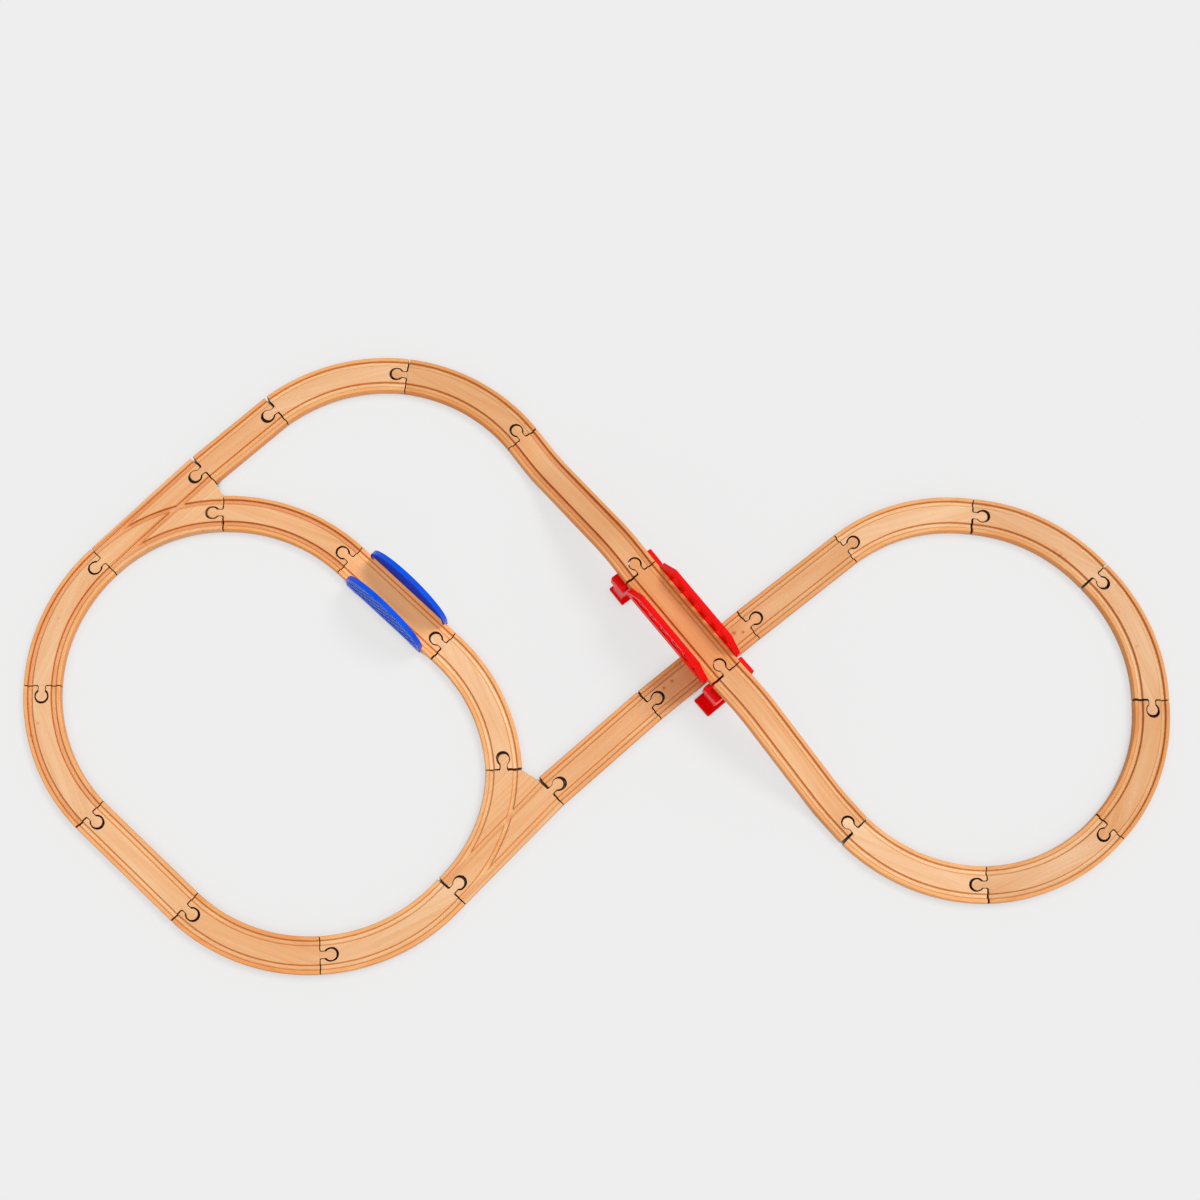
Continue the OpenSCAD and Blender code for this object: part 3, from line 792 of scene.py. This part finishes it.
# %% [markdown]
# ## Floor
# The layout lies on a plain pale floor that fades into the background. A lit floor alone would be darker far
# from the lamps, so rays from the camera or a reflection see mostly an even glow of the floor's colour, while
# the lit part under it keeps the soft shadows. The glow is held back where little sky is in reach, so the
# gaps between the pieces stay dark.

# %% Lay the floor
FLOOR, GLOW_SHARE, GAP_REACH = srgb(238, 238, 238), 0.78, 10 * MM


def seen_directly(tree):
    """1 for rays from the camera, a reflection or a refraction, and 0 for those that gather light."""
    ray = add(tree, "ShaderNodeLightPath").outputs
    mirrored = maths(tree, "MAXIMUM", ray["Is Glossy Ray"], ray["Is Transmission Ray"])
    return maths(tree, "MAXIMUM", ray["Is Camera Ray"], mirrored)


bpy.ops.object.select_all(action="DESELECT")
bpy.ops.mesh.primitive_plane_add(size=40)
floor = bpy.context.object
floor.name = "floor"
pale, tree, shader = new_material("pale_floor")
fill(tree, shader, {"Base Color": FLOOR, "Roughness": 0.9, "Specular IOR Level": 0.0})
open_sky = add(tree, "ShaderNodeAmbientOcclusion", {"Distance": GAP_REACH}, samples=8).outputs["AO"]
unshaded = ramp(tree, open_sky, [(0.34, BLACK), (0.5, (0.9, 0.9, 0.9, 1)), (1.0, WHITE)])
glow = add(tree, "ShaderNodeEmission", {"Color": FLOOR, "Strength": unshaded}).outputs[0]
share = maths(tree, "MULTIPLY", seen_directly(tree), GLOW_SHARE)
lit = add(tree, "ShaderNodeMixShader", {0: share, 1: shader.outputs[0], 2: glow}).outputs[0]
tree.links.new(lit, tree.nodes["Material Output"].inputs["Surface"])
floor.data.materials.append(pale)
floor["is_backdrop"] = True
print("floor", [round(v) for v in floor.dimensions.xy], "metres")

# %% [markdown]
# ## Light
# The picture was lit softly, mostly from above, with faint shadows towards the lower left. An even white sky
# gives about half of the light, a broad far lamp gives the shadows, and a broader one fills them. Each lamp is
# set by the share of a white floor's brightness that it adds, and the shares add up to one, so a colour
# renders about as it is written. Seen directly, the sky has the colour of the floor.

# %% Set up the light
SKY_SHARE = 0.5
world = bpy.data.worlds.new("studio")
bpy.context.scene.world = world
world.use_nodes = True
sky = world.node_tree
soft = sky.nodes["Background"]
fill(sky, soft, {"Color": WHITE, "Strength": SKY_SHARE})
wall = add(sky, "ShaderNodeBackground", {"Color": FLOOR}).outputs[0]
both = add(sky, "ShaderNodeMixShader", {0: seen_directly(sky), 1: soft.outputs[0], 2: wall}).outputs[0]
sky.links.new(both, sky.nodes["World Output"].inputs["Surface"])


def far_lamp(name, azimuth, height, spread, on_floor):
    """Even light from one direction, in degrees, which adds a share of a white floor's brightness."""
    data = bpy.data.lights.new(name, "SUN")
    data.angle = math.radians(spread)
    data.energy = on_floor * math.pi / math.sin(math.radians(height))
    lamp = bpy.data.objects.new(name, data)
    bpy.context.scene.collection.objects.link(lamp)
    lamp.rotation_euler = (math.radians(90 - height), 0, math.radians(azimuth + 90))
    return lamp


lamps = [far_lamp("key", 37, 58, 25, 0.37), far_lamp("fill", 290, 40, 60, 0.13)]
print("lamps", {lamp.name: round(lamp.data.energy, 2) for lamp in lamps})

# %% [markdown]
# ## Camera
# The camera stands high over the near side and looks down, a little turned and rolled. Its place, turn and
# focal length were fitted to the joints of the track in the photo, so the render can be laid over it.

# %% Place the camera
CAMERA_PLACE = (-0.1056, -0.47655, 2.04205)
CAMERA_TURN, CAMERA_TILT, CAMERA_ROLL = math.radians(-10.871), math.radians(15.025), math.radians(10.183)
FOCAL_PIXELS, FRAME_PIXELS, SENSOR = 1872.5, 1200, 36
camera_data = bpy.data.cameras.new("camera")
camera_data.sensor_width = SENSOR
camera_data.lens = SENSOR * FOCAL_PIXELS / FRAME_PIXELS
camera = bpy.data.objects.new("camera", camera_data)
bpy.context.scene.collection.objects.link(camera)
turned = Matrix.Rotation(CAMERA_TURN, 4, "Z") @ Matrix.Rotation(CAMERA_TILT, 4, "X")
camera.matrix_world = Matrix.Translation(CAMERA_PLACE) @ turned @ Matrix.Rotation(CAMERA_ROLL, 4, "Z")
bpy.context.scene.camera = camera
bpy.context.scene.view_settings.view_transform = "Standard"
print("camera with a lens of", round(camera_data.lens, 1), "mm")

# %% [markdown]
# ## Sizes
# The size of the finished object, without the floor, is printed.

# %% Print the finished size
low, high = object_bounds()
print("finished size in metres", [round(v, 3) for v in high - low])
